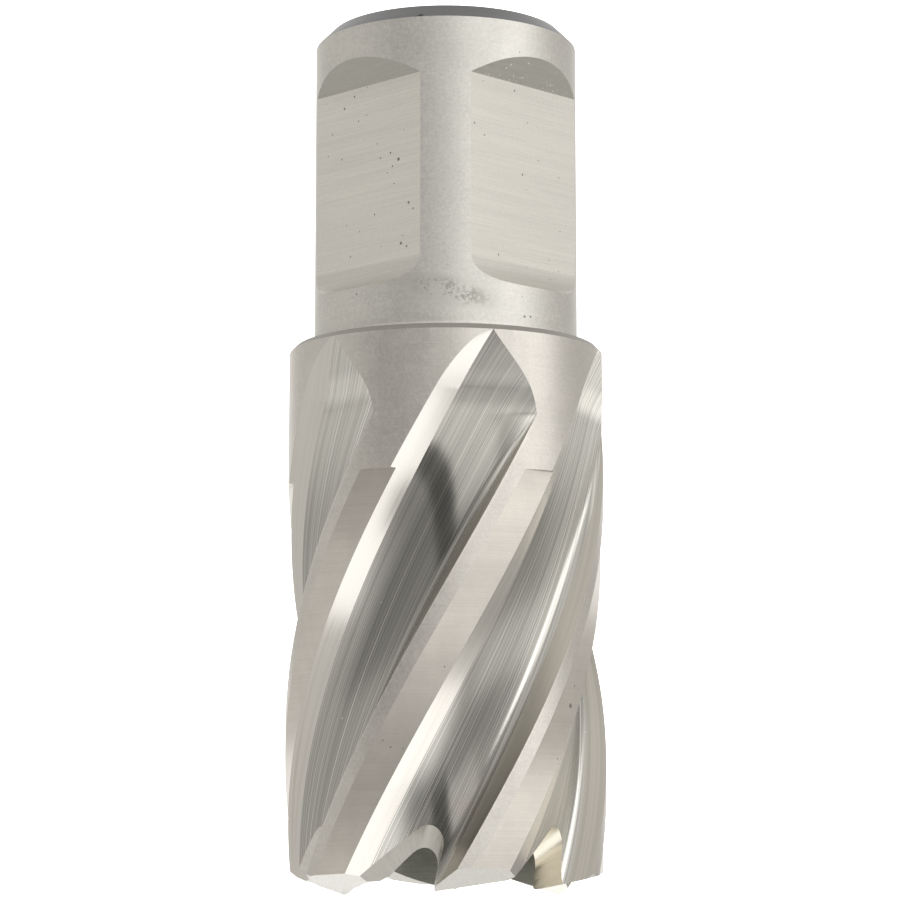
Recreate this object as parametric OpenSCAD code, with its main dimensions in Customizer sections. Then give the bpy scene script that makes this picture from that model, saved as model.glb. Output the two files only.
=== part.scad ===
// Annular cutter with a plain two-flat shank, standing on its teeth.
// Sizes are in millimetres. Z = 0 is the plane of the tooth tips and Z is the axis of the tool.
// Angles are counted from the front (-Y) towards +X.

/* [Shank] */
// Diameter of the shank
shank_diameter = 19.05; // [18.6:0.05:20]
// Length of the shank above the shoulder of the body
shank_length = 23.4; // [23:0.1:32]
// Chamfer at the free end of the shank
shank_chamfer = 1.1; // [0.4:0.1:1.6]
// Fillet where the shank meets the shoulder
foot_fillet = 0.5; // [0.2:0.1:0.9]

/* [Clamping flats] */
// Depth of each flat below the shank surface
flat_depth = 1.65; // [1:0.05:2.2]
// Length of the level part of each flat
flat_length = 13.1; // [10:0.1:14]
// Distance from the free end of the shank to the level part of each flat
flat_setback = 5.1; // [4:0.05:6.5]
// Radius of the run-out at the lower end of each flat
flat_runout_radius = 2; // [2:0.1:2.6]
// Angle between the two flats
flat_spacing = 90; // [85:1:180]

/* [Body] */
// Cutting diameter over the tooth margins
cutting_diameter = 22.9; // [22.4:0.1:25]
// Length of the body from the tips to the shoulder
body_length = 39.05; // [37:0.05:50]
// Loss of diameter between the tips and the shoulder
back_taper = 0.26; // [0:0.02:0.5]
// Chamfer at the rim of the shoulder
rim_chamfer = 0.4; // [0.2:0.05:0.6]

/* [Core and pilot] */
// Diameter of the hollow that takes the slug
core_diameter = 15; // [13:0.1:15.6]
// Depth of the hollow from the tips
core_depth = 30; // [26:0.5:32]
// Diameter of the pilot pin that slides in the shank
pilot_pin_diameter = 6.35; // [5:0.05:8]
// Clearance on diameter between pilot pin and hole
pilot_clearance = 0.1; // [0.05:0.05:0.3]
// Countersink of the pilot hole at the free end
pilot_chamfer = 0.6; // [0.2:0.1:1]

/* [Flutes] */
// Height for one full turn of the helix
helix_lead = 124.4; // [110:0.1:150]
// Angle of the cutting corner of the front tooth at the tip plane
tooth_phase = -1.4; // [-30:0.1:30]
// Depth of the flute floor at the foot of the rake wall
flute_depth = 2.05; // [1.6:0.05:2.3]
// Lean of the rake wall from the radial direction
rake_lean = 26; // [15:1:32]
// Radius at the foot of the rake wall
flute_fillet = 0.5; // [0.3:0.05:0.6]
// Depth of the flute at the edge between floor and heel bevel
heel_depth = 1.1; // [0.8:0.05:1.3]
// Angle from the rake edge to the edge between floor and heel bevel
heel_bevel_foot = 33.5; // [31:0.5:35]
// Angle covered by the heel bevel
heel_bevel_width = 9; // [7:0.5:10]
// Distance below the shoulder where the rake wall begins
rake_start = 6.15; // [5.4:0.05:8]
// Height below that start in which the floor gains most of its depth
floor_run_in = 7; // [5:0.5:9]
// Rise of the floor above the start of the rake wall, per millimetre of height
runout_rise = 0.3; // [0.25:0.01:0.4]
// Growth of that rise towards the shoulder
runout_growth = 0.1; // [0.08:0.005:0.11]
// Height over which the heel bevel runs out at the shoulder
bevel_runout = 4; // [3:0.5:5]
// Hollow of the floor between its two edges
floor_hollow = 0.12; // [0.04:0.02:0.16]

/* [Land relief] */
// Angle of the full-diameter margin behind the cutting edge
margin_width = 6.3; // [5:0.1:7]
// Depth of the relief at the heel of the land
relief_depth = 0.26; // [0.14:0.02:0.3]
// Height of the relieved part above the tips
relief_height = 29; // [24:0.5:30]

/* [Pointed tooth ends] */
// Heights of these teeth above the tip plane
point_setback = [0, 0.36, 0.36]; // [0:0.02:0.5]
// Outward rises of their end faces
point_rise = [0.26, 0.16, 0.16]; // [0.12:0.02:0.3]
// Rise of their end faces from the cutting edge to the heel
point_clearance = 0.15; // [0.1:0.01:0.2]
// Distance of their points from the core
point_inset = 0.2; // [0.1:0.05:0.4]
// Angle of their points behind the cutting corner
point_angle = 4.5; // [4:0.1:5]
// Inward rise of the bevel between their points and the core
point_bevel_rise = 0.5; // [0.3:0.05:0.6]
// Radius of the hollow relief behind their points
point_relief_radius = 10; // [8:0.5:12]
// Heights of that relief above their points
point_relief_height = [0.93, 0.4, 0.4]; // [0.3:0.01:1]
// Height of the bevel at their outer corner
corner_bevel_height = 1.55; // [1.3:0.05:1.8]
// Outward rise of that bevel
corner_bevel_rise = 0.95; // [0.8:0.05:1.1]
// Fall of that bevel from the cutting edge to the heel
corner_bevel_fall = 0.12; // [0.06:0.02:0.16]

/* [Ridged tooth ends] */
// Heights of these teeth above the tip plane
ridge_setback = [0.2, 0, 0.2]; // [0:0.02:0.4]
// Outward rise of their end faces
ridge_outer_rise = 0.52; // [0.4:0.02:0.6]
// Inward rise of their end faces
ridge_inner_rise = 0.3; // [0.2:0.02:0.4]
// Rise of their end faces from the cutting edge to the heel
ridge_clearance = 0.15; // [0.1:0.01:0.2]
// Radius of the ridge
ridge_radius = 9; // [8.6:0.1:9.4]
// Angle of the ridge's tip behind the cutting corner
ridge_angle = 4; // [3.6:0.1:4.4]

/* [Gullets] */
// Height of the crown of each gullet where it meets the flute floor
gullet_height = 5.05; // [4.4:0.05:5.4]
// Radius of the crown
gullet_radius = 1.13; // [0.9:0.01:1.3]
// Downward slope of the gullet towards the core
gullet_slope = 36; // [30:1:40]
// Turn of the gullet away from the radial direction
gullet_turn = 13.4; // [10:0.2:16]
// Sideways distance of the crown from the axis of the cutter
gullet_offset = 3.2; // [3:0.02:3.4]
// Lean of the short flank that carries on the rake wall
gullet_lean = 14; // [8:1:18]
// Angle of the long flank from the vertical
gullet_flank = 65; // [58:1:70]

/* [Hidden] */
$fn = 96;
tooth_count = 6;
overall_length = body_length + shank_length;
shank_radius = shank_diameter / 2;
tip_radius = cutting_diameter / 2;
core_radius = core_diameter / 2;
point_radius = core_radius + point_inset;
pilot_radius = (pilot_pin_diameter + pilot_clearance) / 2;
pitch = 360 / tooth_count;
twist = 360 / helix_lead;
flat_top = overall_length - flat_setback;
flat_bottom = flat_top - flat_length;
flat_radius = shank_radius - flat_depth;
rim_height = body_length - rim_chamfer;
margin = 1;
overlap = 0.02;
steel = [0.72, 0.71, 0.69];

// Radius of the body at height z
function body_radius(z) = tip_radius - back_taper / 2 * z / body_length;
// Point at radius r and angle a from the front
function at(r, a) = [r * sin(a), -r * cos(a)];
// Unit vector of v
function unit(v) = v / norm(v);

// Depth at the foot of the rake wall, negative where the floor has left the body
function wall_depth(z) = let (d = body_length - rake_start - z)
    d > 0 ? flute_depth * (1 - exp(-d / floor_run_in)) : runout_rise * d - runout_growth * d * d;
// Depth at the foot of the heel bevel, running out at the rim
function bevel_depth(z) = let (t = min(max(rim_height - z, 0.1), bevel_runout) / bevel_runout)
    heel_depth * sqrt(1 - (1 - t) * (1 - t));

// Closed section of one flute cutter at height z, relieved or not, in the plane
function flute_section(z, relieved) = let (
    r = body_radius(z),
    a = tooth_phase + twist * z,
    c = wall_depth(z),
    h = bevel_depth(z),
    corner_angle = a - max(c, 0) * tan(rake_lean) / r * 180 / PI,
    k = at(r - c, corner_angle),
    wall = unit(at(r, a + 0.001) - at(r - 1, a - tan(rake_lean) / r * 180 / PI)),
    foot = at(r - h, a - heel_bevel_foot),
    floor = unit(foot - k),
    f = max(min(flute_fillet, c * 0.45), 0.05) * 1.3,
    sag = floor_hollow * max(c, 0) / flute_depth,
    inward = -unit(foot + k),
    keep = relieved ? relief_depth : -0.4,
    heel = at(r - keep, a - heel_bevel_foot - heel_bevel_width * (h - keep) / heel_depth),
    line = at(r, a - pitch + margin_width),
    past = relieved ? heel + 1.15 * (line - heel) : at(r + 0.6, a - pitch + margin_width),
    rim = at(r + 1, a - pitch + margin_width - 1),
    over = at(r + 6.5, a - pitch / 2)
) [
    over,
    k + wall * (max(c, 0) / cos(rake_lean) + 0.4),
    k + wall * f,
    k + (wall + floor) * f * 0.28,
    k + floor * f,
    k + (foot - k) * 0.38 + inward * sag,
    k + (foot - k) * 0.7 + inward * sag * 0.9,
    foot,
    heel,
    past,
    rim
];

// Heights of the sections and whether the land is relieved there
function flute_rows() = concat(
    [for (i = [0:22]) [-margin + (relief_height + margin) * i / 22, true]],
    [for (i = [0:10]) [relief_height + 0.15 + (body_length + 0.5 - relief_height - 0.15) * i / 10, false]]
);

// Cutter for one flute together with the relief of the land behind it
module flute_cutter() {
    rows = flute_rows();
    n = 11;
    last = len(rows) - 1;
    points = [for (row = rows) for (p = flute_section(row[0], row[1])) [p[0], p[1], row[0]]];
    sides = [for (i = [0:last - 1]) for (j = [0:n - 1]) let (
        p = i * n + j,
        q = i * n + (j + 1) % n
    ) each [[p, p + n, q], [q, p + n, q + n]]];
    low = [[for (j = [0:n - 1]) j]];
    high = [concat([last * n], [for (j = [n - 1:-1:1]) last * n + j])];
    polyhedron(points = points, faces = concat(sides, low, high), convexity = 6);
}

// Wedge of space below a plane, between the gullets on both sides of one tooth
module end_cutter(tip_r, tip_angle, rise, clearance, lift) {
    tip = at(tip_r, tip_angle);
    out = at(1, 0);
    side = at(1, 90);
    ground = [at(4, -22), at(15, -20), at(15, 10), at(15, 42), at(4, 40)];
    low = [for (p = ground) [p[0], p[1], -15]];
    high = [for (p = ground) [p[0], p[1], lift + rise * ((p - tip) * out) + clearance * ((p - tip) * side)]];
    polyhedron(
        points = concat(low, high),
        faces = [[0, 1, 2, 3, 4], [9, 8, 7, 6, 5],
            [0, 5, 6, 1], [1, 6, 7, 2], [2, 7, 8, 3], [3, 8, 9, 4], [4, 9, 5, 0]],
        convexity = 3
    );
}

// Round hollow ground behind the point of a tooth, along the radial direction
module relief_cutter(lift, height) {
    r = point_relief_radius;
    back = sqrt(2 * r * height - height * height);
    tip = at(point_radius, -point_angle);
    intersection() {
        translate([tip[0] + back, -4, lift + height - r])
            rotate([90, 0, 0])
                cylinder(r = r, h = 6.6);
        translate([-1, -20, -10])
            cube([7, 20, 20]);
    }
}

// Ends of pair i of the teeth: one has a point at the core, the next a ridge in the wall
module tooth_ends(i) {
    rotate([0, 0, tooth_phase - pitch]) {
        end_cutter(point_radius, -point_angle, point_rise[i], point_clearance, point_setback[i]);
        end_cutter(point_radius, -point_angle, -point_bevel_rise, point_clearance, point_setback[i]);
        end_cutter(tip_radius, 0, corner_bevel_rise, -corner_bevel_fall, corner_bevel_height);
    }
    rotate([0, 0, tooth_phase]) {
        end_cutter(ridge_radius, -ridge_angle, ridge_outer_rise, ridge_clearance, ridge_setback[i]);
        end_cutter(ridge_radius, -ridge_angle, -ridge_inner_rise, ridge_clearance, ridge_setback[i]);
    }
}

// Slanted notch through the wall at the foot of one flute
module gullet_cutter() {
    long = 6.5;
    deep = 5.2;
    floor_radius = tip_radius - flute_depth;
    crown = gullet_height * cos(gullet_slope) - floor_radius * sin(gullet_slope) - gullet_radius;
    left = (gullet_radius - overlap) * [-cos(gullet_flank), sin(gullet_flank)];
    right = (gullet_radius - overlap) * [cos(gullet_lean), -sin(gullet_lean)];
    rotate([0, 0, tooth_phase + gullet_turn])
        translate([-gullet_offset, 0, 0])
            rotate([90 - gullet_slope, 0, 0])
                translate([0, crown, 4.5])
                    linear_extrude(height = 10)
                        union() {
                            circle(r = gullet_radius);
                            polygon([
                                right,
                                right + deep * [-tan(gullet_lean), -1],
                                left + [-long * sin(gullet_flank), -deep - gullet_radius],
                                left + long * [-sin(gullet_flank), -cos(gullet_flank)],
                                left
                            ]);
                        }
}

// One clamping flat with a slanted upper end and a round run-out below
module flat_cutter() {
    reach = 6;
    rotate([90, 0, 90])
        translate([0, 0, -12])
            linear_extrude(height = 24)
                union() {
                    polygon([
                        [-flat_radius, flat_bottom],
                        [-flat_radius, flat_top],
                        [-flat_radius - reach, flat_top + reach],
                        [-flat_radius - reach, flat_bottom]
                    ]);
                    translate([-flat_radius - flat_runout_radius, flat_bottom])
                        circle(r = flat_runout_radius);
                    translate([-flat_radius - reach, flat_bottom - flat_runout_radius])
                        square([reach - flat_runout_radius, flat_runout_radius + 1]);
                }
}

// Turned form of the cutter before grinding, with the hollow and the pilot hole
module blank() {
    top_radius = body_radius(rim_height);
    rotate_extrude()
        difference() {
            polygon([
                [core_radius, 0],
                [tip_radius, 0],
                [top_radius, rim_height],
                [top_radius - rim_chamfer, body_length],
                [shank_radius + foot_fillet, body_length],
                [shank_radius + foot_fillet, body_length + foot_fillet],
                [shank_radius, body_length + foot_fillet],
                [shank_radius, overall_length - shank_chamfer],
                [shank_radius - shank_chamfer, overall_length],
                [pilot_radius + pilot_chamfer, overall_length],
                [pilot_radius, overall_length - pilot_chamfer],
                [pilot_radius, core_depth],
                [core_radius, core_depth]
            ]);
            translate([shank_radius + foot_fillet, body_length + foot_fillet])
                circle(r = foot_fillet);
        }
}

// Blank with the clamping flats ground on the shank
module flatted_blank() {
    difference() {
        blank();
        for (s = [-1, 1])
            rotate([0, 0, s * flat_spacing / 2])
                flat_cutter();
    }
}

// Blank with the gullets cut through its wall
module notched_blank() {
    difference() {
        flatted_blank();
        for (i = [0:tooth_count - 1])
            rotate([0, 0, i * pitch])
                gullet_cutter();
    }
}

// Blank with gullets and ground tooth ends, before the flutes are ground
module toothed_blank() {
    difference() {
        notched_blank();
        for (i = [0:tooth_count / 2 - 1])
            rotate([0, 0, i * 2 * pitch])
                tooth_ends(i);
    }
}

// Blank with the hollow reliefs behind the pointed teeth
module relieved_blank() {
    difference() {
        toothed_blank();
        for (i = [0:tooth_count / 2 - 1])
            rotate([0, 0, i * 2 * pitch + tooth_phase - pitch])
                relief_cutter(point_setback[i], point_relief_height[i]);
    }
}

module annular_cutter() {
    color(steel)
        difference() {
            relieved_blank();
            for (i = [0:tooth_count - 1])
                rotate([0, 0, i * pitch])
                    flute_cutter();
        }
}

annular_cutter();
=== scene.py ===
"""Looks of an annular cutter that stands on its teeth: fine mesh, steel, light and camera."""
import math

import bmesh
import bpy
from mathutils import Matrix, Vector


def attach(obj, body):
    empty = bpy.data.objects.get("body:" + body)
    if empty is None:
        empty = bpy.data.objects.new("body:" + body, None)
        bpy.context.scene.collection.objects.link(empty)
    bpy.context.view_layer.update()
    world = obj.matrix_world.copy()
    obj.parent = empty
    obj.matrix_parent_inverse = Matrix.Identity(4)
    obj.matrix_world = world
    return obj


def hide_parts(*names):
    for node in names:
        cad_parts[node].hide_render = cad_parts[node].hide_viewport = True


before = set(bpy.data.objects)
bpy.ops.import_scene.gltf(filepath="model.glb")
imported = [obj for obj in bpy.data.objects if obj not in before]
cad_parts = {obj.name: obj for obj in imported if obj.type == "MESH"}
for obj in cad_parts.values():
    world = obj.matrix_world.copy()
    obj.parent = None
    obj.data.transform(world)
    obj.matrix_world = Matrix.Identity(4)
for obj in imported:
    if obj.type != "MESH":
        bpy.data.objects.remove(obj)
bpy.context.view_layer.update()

MM, TO_DEGREES = 0.001, 180 / math.pi

# Sizes of the form in millimetres and degrees, as the part's source has them or works them out
SHANK_R, SHANK_CHAMFER, FOOT_FILLET = 9.525, 1.1, 0.5
BODY_LENGTH, LENGTH, RIM_CHAMFER = 39.05, 62.45, 0.4
FLAT_R, FLAT_LOW, FLAT_HIGH, RUNOUT_R, FLAT_SPACING = 7.875, 44.25, 57.35, 2.0, 90.0
TIP_R, BACK_TAPER = 11.45, 0.26
CORE_R, CORE_DEPTH, PILOT_R, PILOT_CHAMFER = 7.5, 30.0, 3.225, 0.6
TEETH, LEAD, PHASE = 6, 124.4, -1.4
FLUTE_DEPTH, RAKE_LEAN, FLUTE_FILLET, FLOOR_HOLLOW = 2.05, 26.0, 0.5, 0.12
HEEL_DEPTH, HEEL_FOOT, HEEL_WIDTH = 1.1, 33.5, 9.0
RAKE_START, FLOOR_RUN_IN, RUNOUT_RISE, RUNOUT_GROWTH, BEVEL_RUNOUT = 6.15, 7.0, 0.3, 0.1, 4.0
MARGIN_WIDTH, RELIEF_DEPTH, RELIEF_HEIGHT = 6.3, 0.26, 29.0
POINT_LIFT, POINT_RISE, POINT_CLEARANCE = (0.0, 0.36, 0.36), (0.26, 0.16, 0.16), 0.15
POINT_R, POINT_ANGLE, POINT_BEVEL = 7.7, 4.5, 0.5
WHEEL_R, WHEEL_HEIGHT = 10.0, (0.93, 0.4, 0.4)
CORNER_HEIGHT, CORNER_RISE, CORNER_FALL = 1.55, 0.95, 0.12
RIDGE_LIFT, RIDGE_OUT, RIDGE_IN, RIDGE_CLEARANCE = (0.2, 0.0, 0.2), 0.52, 0.3, 0.15
RIDGE_R, RIDGE_ANGLE = 9.0, 4.0
GULLET_HEIGHT, GULLET_R, GULLET_SLOPE, GULLET_TURN = 5.05, 1.13, 36.0, 13.4
GULLET_OFFSET, GULLET_LEAN, GULLET_FLANK = 3.2, 14.0, 65.0
PITCH, TWIST, RIM = 360.0 / TEETH, 360.0 / LEAD, BODY_LENGTH - RIM_CHAMFER

# Run-out of the heel's bevel (1 is a straight rise), the fillet at the rake wall's foot as a share of the
# wall's depth, its least size and its spread, and the bow of the floor (4 gives its hollow the full depth)
BEVEL_CURVE = 1.15
FILLET_SHARE, FILLET_LEAST, FILLET_SPREAD, FLOOR_BOW = 0.45, 0.05, 1.3, 4.2

# Outlines of the cutters where they reach past the steel, in millimetres and degrees
FLUTE_REACH, FLUTE_START, WALL_OVERCUT, RIM_OVERCUT = 6.5, -1, 0.4, 0.5
HEEL_OVERCUT, HEEL_STRETCH, RELIEF_STRETCH, MARGIN_OVERCUT, RELIEF_STEP = 0.4, 1.9, 1.15, 0.6, 0.15
END_SECTOR, END_DEPTH = [(4, -22), (15, -20), (15, 10), (15, 42), (4, 40)], -15
HOLLOW_SPAN, HOLLOW_REACH, HOLLOW_DEPTH = (-1, 6), (-4, -10.6), -10
FLANK_LENGTH, GULLET_DROP, GULLET_START, GULLET_LENGTH = 6.5, 5.2, 4.5, 10
FLAT_REACH, FLAT_ENDS = 6, (-12, 12)

# How fine the mesh is: steps of its curves, the distance in metres at which points merge, and the angle in
# degrees from which an edge is hard
SEGMENTS, ROWS, RUNOUT_ROWS, ARC_STEPS = 480, 150, 60, 24
FOOT_STEPS, FILLET_STEPS, FLOOR_STEPS, HEEL_STEPS = 8, 8, 10, 4
MERGE, HARD_EDGE = 2e-7, 18

# Light of the studio, each patch laid over the ones before it: azimuth from and to (0 is the camera's side,
# + is right), height from and to, softness of the edge, all in degrees, and strength.
# A slanted patch is bounded by the height plus SLANT times the azimuth instead of by the height.
ROOM_GLOW = 0.64
PATCHES = {
    "ceiling": (-72, 82, 36, 100, 8, 0.92),
    "left wall": (-150, -72, -32, 34, 6, 0.62),
    "dark room behind the camera": (-66, 8, -12, 31, 6, 0.34),
    "table in front": (-24, 76, -66, -18, 3, 1.50),
    "shade above the table": (13, 33, -24, -3, 2.5, 0.25),
    "lit wall beside the camera": (-14, 22, 3, 15, 1.0, 0.82),
    "camera": (-50, 22, -3.5, 3, 1.0, 0.13),
    "gap below the soft box": (28, 60, -14, 12, 4, 0.40),
    "soft box": (12, 86, 13, 36, 4, 2.3),
    "foot of the soft box": (60, 88, -14, 13, 4, 0.9),
    "dark corner": (92, 147, -32, 2, 5, 0.42),
    "right wall": (92, 147, 2, 60, 5, 0.64),
    "backdrop right": (150, 400, -50, 60, 5, 1.15),
    "backdrop left": (-400, -150, -50, 60, 5, 1.15),
    "table below": (-400, 400, -100, -66, 6, 0.8),
}
SLANTED, SLANT = ("lit wall beside the camera", "camera"), 0.5

# Tint of dim and of bright light, and the strengths between which it changes
DIM_TINT, BRIGHT_TINT, TINT_CHANGE = (1.0, 0.978, 0.935), (1.0, 0.995, 0.975), (0.5, 1.3)

# Stage and camera in metres and degrees, with the lens and the film in millimetres
FLOOR_SIZE, FLOOR_GLOW = (24, 24), 0.4
BACKDROP_PLACE, BACKDROP_SIZE, BACKDROP_GLOW = (0, 0.9, 0.4), (4, 3), 1.1
CARD_COLOR, CARD_ROUGH, CARD_GLOW = (0.9, 0.9, 0.9), 0.9, (1, 1, 1)
EYE, LOOK_UP, NEAREST = (0.000306, -0.21458, 0.0001), 8.40, 0.01
LENS, FILM_WIDTH = 120.12, 36

# Turn of the grinding lines around the axis and along the flutes, from upright in degrees
RING_TURN, FLUTE_TURN = 90.0, -26.0

# Steel of each zone of the surface: colour, roughness, depth of its grain in millimetres, how strongly its
# lines draw out a reflection, and their turn
STEEL = {
    "shank": ((0.755, 0.74, 0.70), 0.52, 0.004, 0.5, RING_TURN),
    "chamfer": ((0.21, 0.211, 0.217), 0.38, 0.004, 0.0, 0.0),
    "flat": ((0.83, 0.81, 0.755), 0.42, 0.004, 0.6, RING_TURN),
    "flat_end": ((0.525, 0.515, 0.475), 0.42, 0.005, 0.0, 0.0),
    "land": ((0.725, 0.695, 0.65), 0.44, 0.004, 0.6, RING_TURN),
    "relief": ((0.75, 0.71, 0.655), 0.36, 0.002, 0.6, RING_TURN),
    "heel": ((0.75, 0.725, 0.68), 0.22, 0.0008, 0.4, FLUTE_TURN),
    "floor": ((1.0, 0.98, 0.915), 0.17, 0.003, 1.0, FLUTE_TURN),
    "rake": ((0.50, 0.475, 0.425), 0.34, 0.003, 0.6, FLUTE_TURN),
    "gullet": ((0.64, 0.62, 0.575), 0.32, 0.008, 0.0, 0.0),
    "end": ((0.82, 0.81, 0.77), 0.40, 0.004, 0.0, 0.0),
    "bore": ((0.42, 0.42, 0.37), 0.45, 0.006, 0.0, 0.0),
}
ZONES = list(STEEL)

# Tone of the flute floors at their foot, and its changes with the two heights in millimetres that each lies
# between: painted light that makes the floors lighter towards the top and darker again near the tip, in place
# of the reflections they show; and how much rougher they grow between two heights at the top
FLOOR_TONE, FLOOR_PAINTED_LIGHT = 0.48, [(0.22, 25, 33), (0.14, 33.6, 34.6), (-0.12, 35.3, 36.3)]
TOP_ROUGHER, TOP_FROM, TOP_TO = 0.28, 33, 34.6

# Colours of the marks on the steel, and of the rim and the gullet that differ from the rest of their zones;
# the rim's lighter colour is painted light
NECK_PIT, FLAT_PIT = (0.10, 0.095, 0.09), (0.12, 0.11, 0.10)
LAND_PIT, RELIEF_PIT = (0.16, 0.15, 0.14), (0.16, 0.14, 0.13)
SMUDGE, EDGE_NICK, DENT = (0.28, 0.28, 0.24), (0.6, 0.59, 0.56), (0.03, 0.03, 0.03)
# GLINT paints small highlights on the flute floors
CRUMB, GLINT = (0.95, 0.94, 0.92), (0.9, 0.9, 0.88)
STAIN, RUST = (0.60, 0.50, 0.44), (0.50, 0.40, 0.37)
RIM_PAINTED_LIGHT, STRAW = (0.40, 0.385, 0.36), (0.80, 0.755, 0.655)

# Marks on the steel: angle from the front in degrees, height and radius in millimetres
FLAT_PITS = [
    (-38.0, 52.9, 0.06), (-30.5, 50.6, 0.06), (-27.0, 51.0, 0.08), (-26.0, 49.7, 0.07), (-64.0, 52.4, 0.07),
    (-21.5, 45.3, 0.13), (-14.5, 47.6, 0.08), (-46.0, 55.2, 0.06), (-52.0, 54.9, 0.07), (-55.1, 56.8, 0.09),
    (-62.3, 56.1, 0.10), (-70.3, 54.4, 0.07), (-35.5, 51.8, 0.08), (-23.1, 51.4, 0.15), (-28.4, 52.0, 0.09),
    (-39.7, 47.8, 0.08), (-17.0, 48.1, 0.12), (-18.1, 45.0, 0.10), (-57.5, 45.1, 0.07), (12.6, 53.7, 0.08),
    (44.0, 50.8, 0.09), (18.1, 53.0, 0.07), (26.6, 44.6, 0.08), (38.3, 56.8, 0.09),
]
NECK_PITS = [(-41.2, 41.8, 0.08), (35.5, 40.1, 0.11), (38.7, 40.15, 0.10)]
LAND_CHIPS = [
    (40.8, 31.5, 0.12), (45.8, 31.6, 0.14), (50.5, 12.9, 0.20), (52.8, 14.3, 0.10), (-19.4, 9.9, 0.08),
    (-0.3, 15.3, 0.09),
]
EDGE_DENT = (-10.9, 61.5, 0.30)
SMUDGE_ANGLE, SMUDGE_HEIGHT, SMUDGE_SIZE, SMUDGE_SLOPE = 2.5, 41.6, (3.0, 0.9), -0.2

# Angles in degrees between which the straw tint of one gullet comes and goes
STRAW_FROM, STRAW_TO = (22, 34), (72, 84)

# Where a dot begins to fade as a share of its radius, and where a placed mark begins and ends to fade
DOT_CORE, MARK_CORE, MARK_END = 0.4, 0.5, 1.1


def sin(a):
    """Sine of an angle in degrees."""
    return math.sin(math.radians(a))


def cos(a):
    """Cosine of an angle in degrees."""
    return math.cos(math.radians(a))


def tan(a):
    """Tangent of an angle in degrees."""
    return math.tan(math.radians(a))


def at(r, a):
    """The point at radius r and angle a, counted from the front towards +X."""
    return Vector((r * sin(a), -r * cos(a)))


def body_radius(z):
    """Radius over the teeth at height z."""
    return TIP_R - BACK_TAPER / 2 * z / BODY_LENGTH


def wall_depth(z):
    """Depth at the foot of the rake wall, negative where the floor has left the body."""
    d = BODY_LENGTH - RAKE_START - z
    if d > 0:
        return FLUTE_DEPTH * (1 - math.exp(-d / FLOOR_RUN_IN))
    return RUNOUT_RISE * d - RUNOUT_GROWTH * d * d


def bevel_share(z):
    """How much of the heel's bevel is left at height z: its depth, and its width, which ends in a round."""
    t = min(max(RIM - z, 0.001), BEVEL_RUNOUT) / BEVEL_RUNOUT
    return 1 - (1 - t) ** BEVEL_CURVE, math.sqrt(1 - (1 - t) * (1 - t))


def flute_section(z, relieved):
    """The closed section of one flute cutter at height z: points, with the zone of the side after each."""
    r, a, c = body_radius(z), PHASE + TWIST * z, wall_depth(z)
    deep, wide = bevel_share(z)
    h = HEEL_DEPTH * deep
    lean = tan(RAKE_LEAN) / r * 180 / math.pi
    wall_foot = at(r - c, a - max(c, 0) * lean)
    wall = (at(r, a + 0.001) - at(r - 1, a - lean)).normalized()
    heel_foot = at(r - h, a - HEEL_FOOT)
    across = heel_foot - wall_foot
    floor = across.normalized()
    f = max(min(FLUTE_FILLET, c * FILLET_SHARE), FILLET_LEAST) * FILLET_SPREAD
    sag = FLOOR_HOLLOW * max(c, 0) / FLUTE_DEPTH
    inward = -(heel_foot + wall_foot).normalized()
    share = RELIEF_DEPTH / HEEL_DEPTH
    heel = at(r - h * share, a - HEEL_FOOT - HEEL_WIDTH * (1 - share) * wide)
    if not relieved:
        heel = heel_foot + (heel - heel_foot) * min((h + HEEL_OVERCUT) / (h - h * share), HEEL_STRETCH)
    margin = a - PITCH + MARGIN_WIDTH
    past = heel + RELIEF_STRETCH * (at(r, margin) - heel) if relieved else at(r + MARGIN_OVERCUT, margin)
    points = [(at(r + FLUTE_REACH, a - PITCH / 2), "rake")]
    points += [(wall_foot + wall * (max(c, 0) / cos(RAKE_LEAN) + WALL_OVERCUT), "rake")]
    for i in range(FILLET_STEPS):
        t = i / FILLET_STEPS
        points += [(wall_foot + wall * (f * (1 - t) ** 2) + floor * (f * t * t), "floor")]
    start = f / max(across.length, 0.001)
    for i in range(FLOOR_STEPS):
        t = start + (1 - start) * i / FLOOR_STEPS
        bow = FLOOR_BOW * (t - start) * (1 - t) / (1 - start)
        points += [(wall_foot + across * t + inward * (sag * bow), "floor")]
    for i in range(HEEL_STEPS):
        points += [(heel_foot + (heel - heel_foot) * (i / HEEL_STEPS), "heel")]
    points += [(heel, "relief"), (past, "relief"), (at(r + 1, margin - 1), "relief")]
    return points


def mesh_object(name, points, faces, zones):
    """An object from points in millimetres, with the zone of each face as its material index."""
    mesh = bpy.data.meshes.new(name)
    mesh.from_pydata([Vector(p) * MM for p in points], [], faces)
    for zone in ZONES:
        mesh.materials.append(bpy.data.materials.get(zone) or bpy.data.materials.new(zone))
    for polygon, zone in zip(mesh.polygons, zones):
        polygon.material_index = ZONES.index(zone)
    bm = bmesh.new()
    bm.from_mesh(mesh)
    bmesh.ops.recalc_face_normals(bm, faces=bm.faces)
    bm.to_mesh(mesh)
    bm.free()
    piece = bpy.data.objects.new(name, mesh)
    bpy.context.scene.collection.objects.link(piece)
    return piece


def loft(name, rings, zones, cap):
    """A closed solid through rings of points; zones gives each side's zone around the ring, cap the ends'."""
    n = len(rings[0])
    points = [p for ring in rings for p in ring]
    faces, marks = [], []
    for i in range(len(rings) - 1):
        for j in range(n):
            p, q = i * n + j, i * n + (j + 1) % n
            faces.append((p, q, q + n, p + n))
            marks.append(zones[j])
    faces += [tuple(range(n)), tuple(range((len(rings) - 1) * n, len(rings) * n))]
    return mesh_object(name, points, faces, marks + [cap, cap])


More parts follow.
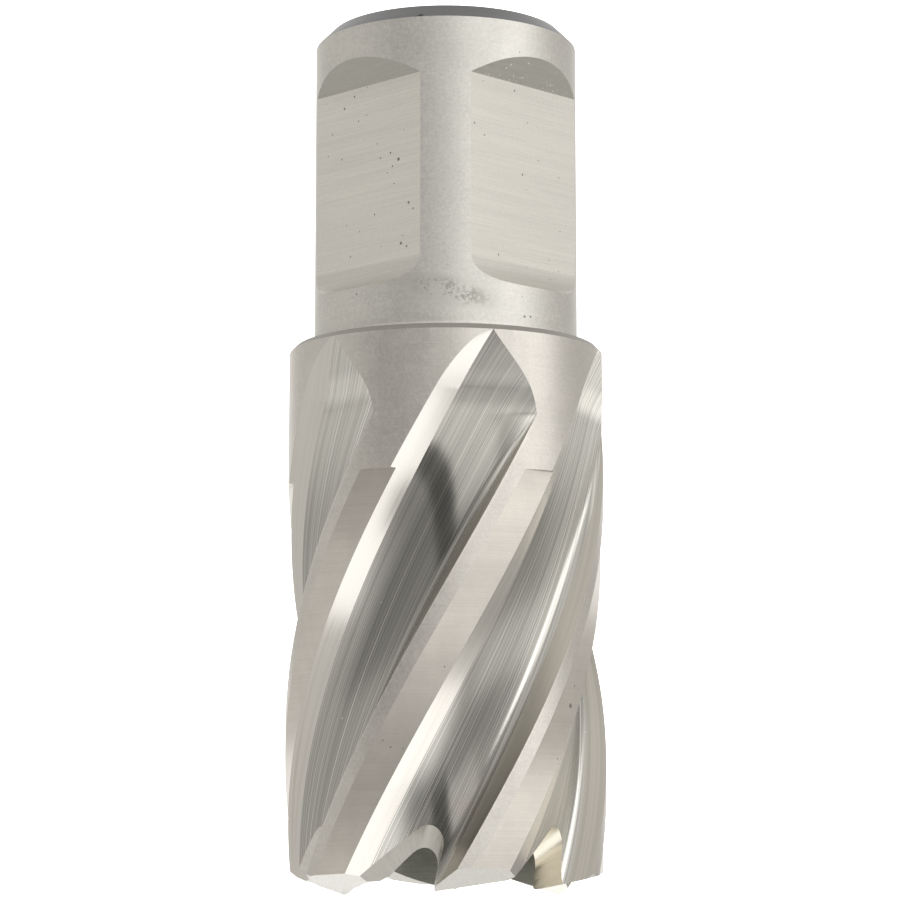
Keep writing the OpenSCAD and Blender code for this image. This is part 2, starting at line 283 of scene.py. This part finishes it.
def blank():
    """The turned form: shank, shoulder, body, core and pilot hole."""
    top_r = body_radius(RIM)
    profile = [(CORE_R, 0, "end"), (TIP_R, 0, "land"), (top_r, RIM, "chamfer"),
               (top_r - RIM_CHAMFER, BODY_LENGTH, "chamfer")]
    for i in range(FOOT_STEPS + 1):
        a = 90 * i / FOOT_STEPS
        foot_r, foot_z = SHANK_R + FOOT_FILLET * (1 - sin(a)), BODY_LENGTH + FOOT_FILLET * (1 - cos(a))
        profile.append((foot_r, foot_z, "shank"))
    profile += [(SHANK_R, LENGTH - SHANK_CHAMFER, "chamfer"), (SHANK_R - SHANK_CHAMFER, LENGTH, "shank"),
                (PILOT_R + PILOT_CHAMFER, LENGTH, "chamfer"), (PILOT_R, LENGTH - PILOT_CHAMFER, "bore"),
                (PILOT_R, CORE_DEPTH, "bore"), (CORE_R, CORE_DEPTH, "bore")]
    n = len(profile)
    points, faces, zones = [], [], []
    for s in range(SEGMENTS):
        a = 360 * s / SEGMENTS
        points += [(r * sin(a), -r * cos(a), z) for r, z, zone in profile]
        for j in range(n):
            p, q = s * n + j, s * n + (j + 1) % n
            far = (s + 1) % SEGMENTS * n - s * n
            faces.append((p, q, q + far, p + far))
            zones.append(profile[j][2])
    return mesh_object("annular_cutter_skin", points, faces, zones)


def flute_cutter(index):
    """The space of one flute and of the land relief behind it."""
    heights = [(FLUTE_START + (RELIEF_HEIGHT - FLUTE_START) * i / ROWS, True) for i in range(ROWS + 1)]
    plain, rise = RELIEF_HEIGHT + RELIEF_STEP, BODY_LENGTH + RIM_OVERCUT - RELIEF_HEIGHT - RELIEF_STEP
    heights += [(plain + rise * i / RUNOUT_ROWS, False) for i in range(RUNOUT_ROWS + 1)]
    turn = Matrix.Rotation(math.radians(PITCH * index), 2)
    rings, zones = [], []
    for z, relieved in heights:
        section = flute_section(z, relieved)
        rings.append([(*(turn @ p), z) for p, zone in section])
        zones = [zone for p, zone in section]
    return loft("flute", rings, zones, "floor")


def turned(ring, angle):
    """The points of a ring turned about the axis."""
    turn = Matrix.Rotation(math.radians(angle), 3, "Z")
    return [turn @ Vector(p) for p in ring]


def end_cutter(angle, tip_r, tip_angle, rise, clearance, lift):
    """The space below the plane of one tooth end."""
    tip = at(tip_r, tip_angle)
    ground = [at(r, a) for r, a in END_SECTOR]
    low = [(p.x, p.y, END_DEPTH) for p in ground]
    high = [(p.x, p.y, lift + rise * (tip.y - p.y) + clearance * (p.x - tip.x)) for p in ground]
    return loft("end", [turned(low, angle), turned(high, angle)], ["end"] * len(ground), "end")


def hollow_cutter(angle, lift, height):
    """The round hollow behind the point of one tooth."""
    back = math.sqrt(2 * WHEEL_R * height - height * height) + at(POINT_R, -POINT_ANGLE).x
    first, last = HOLLOW_SPAN
    outline = [(first, HOLLOW_DEPTH)]
    for i in range(ARC_STEPS + 1):
        x = first + (last - first) * i / ARC_STEPS
        outline.append((x, lift + height - WHEEL_R + math.sqrt(WHEEL_R ** 2 - (x - back) ** 2)))
    outline.append((last, HOLLOW_DEPTH))
    rings = [turned([(x, y, z) for x, z in outline], angle) for y in HOLLOW_REACH]
    return loft("hollow", rings, ["end"] * len(outline), "end")


def gullet_cutter(index):
    """The slanted notch through the wall at the foot of one flute."""
    r = GULLET_R
    crown = GULLET_HEIGHT * cos(GULLET_SLOPE) - (TIP_R - FLUTE_DEPTH) * sin(GULLET_SLOPE) - r
    first, last = -GULLET_LEAN, 180 - GULLET_FLANK
    steps = ARC_STEPS * 2
    outline = []
    for i in range(steps + 1):
        a = first + (last - first) * i / steps
        outline.append((r * cos(a), r * sin(a)))
    left, right = outline[-1], outline[0]
    flank = left[0] - FLANK_LENGTH * sin(GULLET_FLANK)
    outline += [(flank, left[1] - FLANK_LENGTH * cos(GULLET_FLANK)),
                (flank, left[1] - GULLET_DROP - r),
                (right[0] - GULLET_DROP * tan(GULLET_LEAN), right[1] - GULLET_DROP)]
    place = (Matrix.Rotation(math.radians(PHASE + GULLET_TURN + PITCH * index), 4, "Z")
             @ Matrix.Translation((-GULLET_OFFSET, 0, 0))
             @ Matrix.Rotation(math.radians(90 - GULLET_SLOPE), 4, "X")
             @ Matrix.Translation((0, crown, GULLET_START)))
    rings = [[place @ Vector((x, y, z)) for x, y in outline] for z in (0, GULLET_LENGTH)]
    return loft("gullet", rings, ["gullet"] * len(outline), "gullet")


def flat_cutter(side):
    """One clamping flat with a slanted upper end and a round run-out."""
    outline = [(-FLAT_R - FLAT_REACH, FLAT_HIGH + FLAT_REACH, "flat"),
               (-FLAT_R - FLAT_REACH, FLAT_LOW - RUNOUT_R, "flat")]
    for i in range(ARC_STEPS + 1):
        a = 90 * i / ARC_STEPS
        outline.append((-FLAT_R - RUNOUT_R * (1 - sin(a)), FLAT_LOW - RUNOUT_R * cos(a), "flat"))
    outline.append((-FLAT_R, FLAT_HIGH, "flat_end"))
    rings = [turned([(x, y, z) for y, z, zone in outline], side * FLAT_SPACING / 2) for x in FLAT_ENDS]
    return loft("flat", rings, [zone for y, z, zone in outline], "flat")


def cutters():
    """Every tool that the form is ground with, in the order of work."""
    tools = [flat_cutter(side) for side in (-1, 1)]
    tools += [gullet_cutter(i) for i in range(TEETH)]
    for i in range(TEETH // 2):
        a, b = PHASE - PITCH + 2 * PITCH * i, PHASE + 2 * PITCH * i
        tools += [
            end_cutter(a, POINT_R, -POINT_ANGLE, POINT_RISE[i], POINT_CLEARANCE, POINT_LIFT[i]),
            end_cutter(a, POINT_R, -POINT_ANGLE, -POINT_BEVEL, POINT_CLEARANCE, POINT_LIFT[i]),
            end_cutter(a, TIP_R, 0, CORNER_RISE, -CORNER_FALL, CORNER_HEIGHT),
            end_cutter(b, RIDGE_R, -RIDGE_ANGLE, RIDGE_OUT, RIDGE_CLEARANCE, RIDGE_LIFT[i]),
            end_cutter(b, RIDGE_R, -RIDGE_ANGLE, -RIDGE_IN, RIDGE_CLEARANCE, RIDGE_LIFT[i]),
            hollow_cutter(a, POINT_LIFT[i], WHEEL_HEIGHT[i]),
        ]
    return tools + [flute_cutter(i) for i in range(TEETH)]


def cutter_skin():
    """The fine mesh of the cutter, with hard edges between its zones and at sharp bends."""
    body = blank()
    tools = cutters()
    for tool in tools:
        cut = body.modifiers.new("cut", "BOOLEAN")
        cut.operation = "DIFFERENCE"
        cut.solver = "MANIFOLD"
        cut.object = tool
    bpy.context.view_layer.update()
    graph = bpy.context.evaluated_depsgraph_get()
    mesh = bpy.data.meshes.new_from_object(body.evaluated_get(graph))
    body.modifiers.clear()
    body.data = mesh
    for tool in tools:
        bpy.data.objects.remove(tool)
    bm = bmesh.new()
    bm.from_mesh(mesh)
    bmesh.ops.remove_doubles(bm, verts=bm.verts, dist=MERGE)
    for face in bm.faces:
        face.smooth = True
    for edge in bm.edges:
        pair = edge.link_faces
        same = len(pair) == 2 and pair[0].material_index == pair[1].material_index
        edge.smooth = same and pair[0].normal.angle(pair[1].normal, 0) < math.radians(HARD_EDGE)
    bm.to_mesh(mesh)
    bm.free()
    return body


class Value:
    """A shader socket that arithmetic can be written with."""

    def __init__(self, tree, socket):
        self.tree, self.socket = tree, socket

    def calc(self, operation, *others):
        """The result of a Math node on this value and others."""
        node = self.tree.nodes.new("ShaderNodeMath")
        node.operation = operation
        for slot, value in zip(node.inputs, (self,) + others):
            connect(self.tree, value, slot)
        return Value(self.tree, node.outputs[0])

    def __add__(self, other):
        return self.calc("ADD", other)

    def __sub__(self, other):
        return self.calc("SUBTRACT", other)

    def __rsub__(self, other):
        return (self * -1) + other

    def __mul__(self, other):
        return self.calc("MULTIPLY", other)

    def __truediv__(self, other):
        return self.calc("DIVIDE", other)

    def __pow__(self, other):
        return self.calc("POWER", other)

    def __lt__(self, other):
        return self.calc("LESS_THAN", other)

    __radd__ = __add__
    __rmul__ = __mul__

    def most(self, other):
        """The larger of two values."""
        return self.calc("MAXIMUM", other)

    def clamp(self):
        """The value kept between 0 and 1."""
        return self.calc("MINIMUM", 1.0).most(0.0)

    def ramp(self, low, high):
        """0 below low, 1 above high, smooth between."""
        sockets = {"Value": self, "From Min": low, "From Max": high}
        return Tree(self.tree).node("ShaderNodeMapRange", sockets, interpolation_type="SMOOTHSTEP")


def connect(tree, value, slot):
    """Links a value to a socket, or sets the socket to a number, vector or colour without alpha."""
    if isinstance(value, Value):
        tree.links.new(value.socket, slot)
    elif slot.type == "RGBA":
        slot.default_value = (*value, 1.0)
    else:
        slot.default_value = value


def around(x, y):
    """Angle about the axis in degrees, counted from the front towards +X."""
    return x.calc("ARCTAN2", y * -1) * TO_DEGREES


class Tree:
    """A node tree that values, vectors and colours are added to."""

    def __init__(self, tree):
        self.tree = tree

    def node(self, kind, inputs=None, out=0, **settings):
        """A new node's output; settings are set first, then inputs are set or linked."""
        node = self.tree.nodes.new(kind)
        for name, value in settings.items():
            setattr(node, name, value)
        for name, value in (inputs or {}).items():
            connect(self.tree, value, node.inputs[name])
        return Value(self.tree, node.outputs[out])

    def split(self, vector):
        """The three parts of a vector."""
        first = self.node("ShaderNodeSeparateXYZ", {0: vector})
        return [Value(self.tree, socket) for socket in first.socket.node.outputs]

    def stretched(self, vector, x, y, z):
        return self.node("ShaderNodeVectorMath", {0: vector, 1: (x, y, z)}, operation="MULTIPLY")

    def scaled(self, color, share):
        return self.node("ShaderNodeVectorMath", {0: color, "Scale": share}, operation="SCALE")

    def mix(self, share, first, second):
        return self.node("ShaderNodeMix", {0: share, 6: first, 7: second}, out=2, data_type="RGBA")

    def noise(self, where, scale=1.0, detail=3.0, rough=0.6):
        """Noise about zero, mostly between -0.25 and 0.25."""
        sockets = {"Vector": where, "Scale": scale, "Detail": detail, "Roughness": rough}
        return self.node("ShaderNodeTexNoise", sockets) - 0.5

    def dots(self, where, spacing, size, share):
        """Small round dots on a random share of cells."""
        sockets = {"Vector": where, "Scale": 1 / spacing}
        near = self.node("ShaderNodeTexVoronoi", sockets)
        pick = self.split(self.node("ShaderNodeTexVoronoi", sockets, out="Color"))[0]
        return (1 - near.ramp(DOT_CORE * size / spacing, size / spacing)) * (pick < share)


class Paint(Tree):
    """The steel of one zone, with the place on the cutter as values in millimetres and degrees."""

    def __init__(self, zone):
        material = bpy.data.materials[zone]
        material.use_nodes = True
        super().__init__(material.node_tree)
        self.shader = self.tree.nodes["Principled BSDF"]
        self.bare, self.rough, self.depth, self.brushed, self.turn = STEEL[zone]
        self.place = self.scaled(self.node("ShaderNodeTexCoord", out="Object"), 1 / MM)
        self.x, self.y, self.z = self.split(self.place)
        self.angle = around(self.x, self.y)

    def rings(self, grain, along):
        """Where to take noise from for lines around the axis."""
        return self.stretched(self.place, along, along, grain)

    def helix(self, grain, along):
        """Where to take noise from for lines along the flutes."""
        turn = (self.angle - self.z * TWIST) * (1 / TO_DEGREES)
        wide = grain * TIP_R
        sockets = {0: turn.calc("SINE") * wide, 1: turn.calc("COSINE") * wide, 2: self.z * along}
        return self.node("ShaderNodeCombineXYZ", sockets)

    def tooth_place(self):
        """Angle from the cutting edge that the tooth's land begins at, in degrees."""
        return (self.angle - self.z * TWIST - PHASE).calc("FLOORED_MODULO", PITCH)

    def spots(self, marks, radius):
        """Soft round marks; radius gives the surface's radius at an angle."""
        found = None
        for angle, height, size in marks:
            sockets = {0: self.place, 1: (*at(radius(angle), angle), height)}
            far = self.node("ShaderNodeVectorMath", sockets, out="Value", operation="DISTANCE")
            spot = 1 - far.ramp(MARK_CORE * size, MARK_END * size)
            found = spot if found is None else found.most(spot)
        return found

    def finish(self, color, rough, height):
        """Gives the zone its colour and roughness, and a grain from height, a noise about zero."""
        connect(self.tree, color, self.shader.inputs["Base Color"])
        connect(self.tree, rough.clamp(), self.shader.inputs["Roughness"])
        self.shader.inputs["Metallic"].default_value = 1.0
        self.shader.inputs["Anisotropic"].default_value = self.brushed
        self.shader.inputs["Anisotropic Rotation"].default_value = self.turn / 360 % 1
        sockets = {"Strength": 1.0, "Distance": self.depth * MM, "Height": height}
        connect(self.tree, self.node("ShaderNodeBump", sockets), self.shader.inputs["Normal"])


def shank_radius(angle):
    """Radius of the shank, the same at every angle."""
    return SHANK_R


def flat_radius(angle):
    """Radius of the clamping flats' surface at an angle."""
    return FLAT_R / cos(abs(angle) - FLAT_SPACING / 2)


def land_radius(angle):
    """Radius of the plain lands, the same at every angle."""
    return TIP_R


def relief_radius(angle):
    """Radius of the relieved lands, the same at every angle."""
    return TIP_R - RELIEF_DEPTH


def shank_steel():
    """Fine turned steel, matte and mottled, with a rubbed smudge and some pits on the neck."""
    paint = Paint("shank")
    mottle = paint.noise(paint.place, scale=4.0, detail=4.0, rough=0.8)
    cloud = paint.noise(paint.place, scale=0.5, detail=2.0)
    lines = paint.noise(paint.rings(grain=11.0, along=0.10), detail=2.0)
    tone = 1 + mottle * 0.6 + lines * 0.12 + cloud * 0.12
    specks = paint.dots(paint.place, spacing=1.3, size=0.07, share=0.16)
    pits = paint.spots(NECK_PITS, shank_radius).most(specks)
    wide = (paint.angle - SMUDGE_ANGLE) * (SHANK_R / TO_DEGREES)
    high = paint.z - SMUDGE_HEIGHT - wide * SMUDGE_SLOPE
    far = ((wide / SMUDGE_SIZE[0]) ** 2 + (high / SMUDGE_SIZE[1]) ** 2) ** 0.5
    grains = (mottle + cloud * 0.6).ramp(-0.08, 0.12)
    smudge = (1 - far.ramp(0.1, 1.5)) * grains * (paint.y < 0)
    rubbed = paint.mix(smudge * 0.85, paint.scaled(paint.bare, tone), SMUDGE)
    paint.finish(paint.mix(pits * 0.8, rubbed, NECK_PIT), paint.rough + mottle * 0.3, mottle)


def chamfer_steel():
    """Dull turned edges: dark and a little blue at the end of the shank, with painted light making the rim of
    the body lighter.
    """
    paint = Paint("chamfer")
    lines = paint.noise(paint.rings(grain=14.0, along=0.1))
    mottle = paint.noise(paint.place, scale=7.0, rough=0.7)
    nicks = paint.dots(paint.place, spacing=0.9, size=0.10, share=0.10)
    # Painted light: the body's rim chamfer is made lighter, as if lit from above
    rim = 1 - paint.z.ramp(BODY_LENGTH + 1, BODY_LENGTH + 2)
    dull = paint.mix(rim, paint.bare, RIM_PAINTED_LIGHT)
    worn = paint.scaled(dull, 1 + lines * 0.5 + mottle * 0.4)
    dent = paint.spots([EDGE_DENT], shank_radius)
    marked = paint.mix(dent * 0.8, paint.mix(nicks, worn, EDGE_NICK), DENT)
    paint.finish(marked, paint.rough + rim * 0.12 + mottle * 0.3, lines)


def flat_steel():
    """Milled and brushed across, with small dark pits, and painted shade in the round run-out below the flat.
    """
    paint = Paint("flat")
    lines = paint.noise(paint.rings(grain=9.0, along=0.10), rough=0.75)
    broad = paint.noise(paint.rings(grain=1.3, along=0.05), detail=2.0)
    mottle = paint.noise(paint.place, scale=6.0, rough=0.7)
    # Painted shade: the round run-out below the flat is made darker
    runout_shade = 1 - paint.z.ramp(FLAT_LOW - 0.3, FLAT_LOW + 0.1)
    tone = 1 + lines * 0.32 + broad * 0.12 + mottle * 0.20 - runout_shade * 0.13
    specks = paint.dots(paint.place, spacing=0.8, size=0.06, share=0.4)
    pits = paint.spots(FLAT_PITS, flat_radius).most(specks)
    brushed = paint.scaled(paint.bare, tone)
    paint.finish(paint.mix(pits * 0.85, brushed, FLAT_PIT), paint.rough + lines * 0.3, lines)


def flat_end_steel():
    """Upper ends of the flats: rough milled steps, the right one with bright crumbs, most at its foot."""
    paint = Paint("flat_end")
    lines = paint.noise(paint.rings(grain=6.0, along=0.3), detail=4.0, rough=0.7)
    mottle = paint.noise(paint.place, scale=3.0, detail=4.0, rough=0.7)
    low = 1 - paint.z.ramp(FLAT_HIGH + 0.2, FLAT_HIGH + 0.9)
    loose = paint.dots(paint.place, spacing=0.42, size=0.10, share=0.32)
    small = paint.dots(paint.place, spacing=0.25, size=0.07, share=0.4)
    crumbs = loose.most(small * low) * paint.x.ramp(-1, 1)
    milled = paint.scaled(paint.bare, 1 + lines * 0.25 + mottle * 0.25)
    paint.finish(paint.mix(crumbs * 0.9, milled, CRUMB), paint.rough + mottle * 0.4, mottle + lines)


def land_steel():
    """The plain lands: fine cylindrical grinding, matte, lighter in a thin strip along the cutting edge below
    the top.
    """
    paint = Paint("land")
    lines = paint.noise(paint.rings(grain=10.0, along=0.10))
    mottle = paint.noise(paint.place, scale=4.5, detail=4.0, rough=0.8)
    cloud = paint.noise(paint.place, scale=0.6, detail=2.0)
    edge = (1 - paint.tooth_place().ramp(0.5, 1.4)) * (1 - paint.z.ramp(31, 33))
    tone = 1 + mottle * 0.5 + lines * 0.14 + cloud * 0.15 + edge * 0.08
    specks = paint.dots(paint.place, spacing=1.6, size=0.08, share=0.16)
    chips = paint.spots(LAND_CHIPS, land_radius).most(specks)
    ground = paint.scaled(paint.bare, tone)
    paint.finish(paint.mix(chips * 0.7, ground, LAND_PIT), paint.rough + mottle * 0.3, mottle)


def relief_steel():
    """The relieved lands: ground around the axis, a little browner."""
    paint = Paint("relief")
    lines = paint.noise(paint.rings(grain=9.0, along=0.08), detail=4.0, rough=0.7)
    mottle = paint.noise(paint.place, scale=6.0, detail=4.0, rough=0.7)
    cloud = paint.noise(paint.place, scale=0.5, detail=2.0)
    tone = 1 + lines * 0.24 + mottle * 0.16 + cloud * 0.2
    specks = paint.dots(paint.place, spacing=1.5, size=0.08, share=0.2)
    chips = paint.spots(LAND_CHIPS, relief_radius).most(specks)
    ground = paint.scaled(paint.bare, tone)
    paint.finish(paint.mix(chips * 0.7, ground, RELIEF_PIT), paint.rough + lines * 0.1, lines)


def heel_steel():
    """The bevel along the heel: bright, with brush lines along the flute and a brown stain at the low end."""
    paint = Paint("heel")
    lines = paint.noise(paint.helix(grain=6.0, along=0.02), detail=1.5, rough=0.8)
    streaks = paint.noise(paint.helix(grain=1.6, along=0.05), detail=2.0)
    stain = streaks.ramp(0.0, 0.2) * (1 - paint.z.ramp(8, 18))
    bright = paint.scaled(paint.bare, 1 + lines * 0.24)
    paint.finish(paint.mix(stain * 0.4, bright, STAIN), paint.rough + lines * 0.2, lines)


def floor_steel():
    """The flute floors: ground along the flute, with painted light making them brighter towards the top, and
    duller at the top.
    """
    paint = Paint("floor")
    lines = paint.noise(paint.helix(grain=6.5, along=0.02), detail=1.5, rough=0.8)
    fine = paint.noise(paint.helix(grain=12.0, along=0.03), detail=0.0)
    broad = paint.noise(paint.helix(grain=1.4, along=0.02), detail=1.0)
    scratch = (lines + fine * 0.8).ramp(0.16, 0.34)
    # Painted highlights: small bright glints scattered over the floor
    glints = paint.dots(paint.place, spacing=0.9, size=0.09, share=0.12)
    # Painted light: the tone grows lighter towards the top and darker again near the tip, standing in for
    # reflections
    bright = FLOOR_TONE
    for change, low, high in FLOOR_PAINTED_LIGHT:
        bright = bright + paint.z.ramp(low, high) * change
    tone = bright * (1 + lines * 0.8 + fine * 0.7 + broad * 0.2 + scratch * 0.5)
    rust = paint.noise(paint.place, scale=0.25).ramp(0.06, 0.2) * (1 - paint.z.ramp(5, 12))
    ground = paint.mix(rust * 0.3, paint.scaled(paint.bare, tone), RUST)
    rough = paint.rough + paint.z.ramp(TOP_FROM, TOP_TO) * TOP_ROUGHER + lines * 0.1
    paint.finish(paint.mix(glints * 0.8, ground, GLINT), rough, lines)


def rake_steel():
    """The rake walls in front of the cutting edges."""
    paint = Paint("rake")
    lines = paint.noise(paint.helix(grain=7.0, along=0.03), detail=1.5, rough=0.75)
    paint.finish(paint.scaled(paint.bare, 1 + lines * 0.5), paint.rough + lines * 0.3, lines)


def gullet_steel():
    """The notches between the teeth: coarse grinding lines, one of them tinted like straw by heat."""
    paint = Paint("gullet")
    lines = paint.noise(paint.helix(grain=5.0, along=0.9), detail=4.0, rough=0.7)
    tint = paint.angle.ramp(*STRAW_FROM) * (1 - paint.angle.ramp(*STRAW_TO))
    tinted = paint.mix(tint, paint.bare, STRAW)
    paint.finish(paint.scaled(tinted, 1 + lines * 0.45), paint.rough + lines * 0.3, lines)


def end_steel():
    """The ground tooth ends."""
    paint = Paint("end")
    lines = paint.noise(paint.stretched(paint.place, 7.0, 0.8, 2.0), rough=0.7)
    mottle = paint.noise(paint.place, scale=4.0, rough=0.7)
    ground = paint.scaled(paint.bare, 1 + lines * 0.25 + mottle * 0.15)
    paint.finish(ground, paint.rough + mottle * 0.3, lines)


def bore_steel():
    """The core and the pilot hole: plain turning, dull and a little green with oil."""
    paint = Paint("bore")
    lines = paint.noise(paint.rings(grain=6.0, along=0.1))
    mottle = paint.noise(paint.place, scale=2.0, detail=4.0, rough=0.7)
    oily = paint.scaled(paint.bare, 1 + lines * 0.4 + mottle * 0.5)
    paint.finish(oily, paint.rough + mottle * 0.3, lines)


def card(name, place, size, turn, strength):
    """A glowing white card of the stage."""
    bpy.ops.mesh.primitive_plane_add(size=1, location=place, rotation=turn)
    piece = bpy.context.object
    piece.name = name
    piece.scale = (*size, 1)
    material = bpy.data.materials.new(name)
    material.use_nodes = True
    shader = material.node_tree.nodes["Principled BSDF"]
    connect(material.node_tree, CARD_COLOR, shader.inputs["Base Color"])
    connect(material.node_tree, CARD_ROUGH, shader.inputs["Roughness"])
    connect(material.node_tree, CARD_GLOW, shader.inputs["Emission Color"])
    connect(material.node_tree, strength, shader.inputs["Emission Strength"])
    piece.data.materials.append(material)
    return piece


def surround():
    """The light of the studio by direction, from the patches named above."""
    world = bpy.data.worlds.new("surround")
    bpy.context.scene.world = world
    world.use_nodes = True
    sky = Tree(world.node_tree)
    x, y, z = sky.split(sky.node("ShaderNodeTexCoord", out="Generated"))
    side = around(x, y)
    lift = z.calc("ARCSINE") * TO_DEGREES
    slanted = lift + side * SLANT
    glow = ROOM_GLOW
    for name, (left, right, low, high, soft, strength) in PATCHES.items():
        rise = slanted if name in SLANTED else lift
        wide = side.ramp(left - soft, left + soft) * (1 - side.ramp(right - soft, right + soft))
        tall = rise.ramp(low - soft, low + soft) * (1 - rise.ramp(high - soft, high + soft))
        glow = glow + (strength - glow) * (wide * tall)
    back = world.node_tree.nodes["Background"]
    tint = sky.mix(glow.ramp(*TINT_CHANGE), DIM_TINT, BRIGHT_TINT)
    connect(world.node_tree, tint, back.inputs["Color"])
    connect(world.node_tree, glow, back.inputs["Strength"])


def studio():
    """White floor and backdrop, hidden from reflections, under the light of the surround."""
    floor = card("floor", (0, 0, 0), FLOOR_SIZE, (0, 0, 0), FLOOR_GLOW)
    backdrop = card("backdrop", BACKDROP_PLACE, BACKDROP_SIZE, (math.radians(90), 0, 0), BACKDROP_GLOW)
    for piece in (floor, backdrop):
        piece.visible_glossy = False
    surround()
    scene = bpy.context.scene
    scene.view_settings.view_transform = "Standard"
    scene.view_settings.look = "None"


def camera():
    """The camera of the photo: close, low and looking up a little."""
    data = bpy.data.cameras.new("camera")
    data.sensor_width = FILM_WIDTH
    data.lens = LENS
    data.clip_start = NEAREST
    eye = bpy.data.objects.new("camera", data)
    eye.location = EYE
    eye.rotation_euler = (math.radians(90 + LOOK_UP), 0, 0)
    bpy.context.scene.collection.objects.link(eye)
    bpy.context.scene.camera = eye


skin = cutter_skin()
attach(skin, "root")
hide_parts("annular_cutter")
shank_steel()
chamfer_steel()
flat_steel()
flat_end_steel()
land_steel()
relief_steel()
heel_steel()
floor_steel()
rake_steel()
gullet_steel()
end_steel()
bore_steel()
studio()
camera()
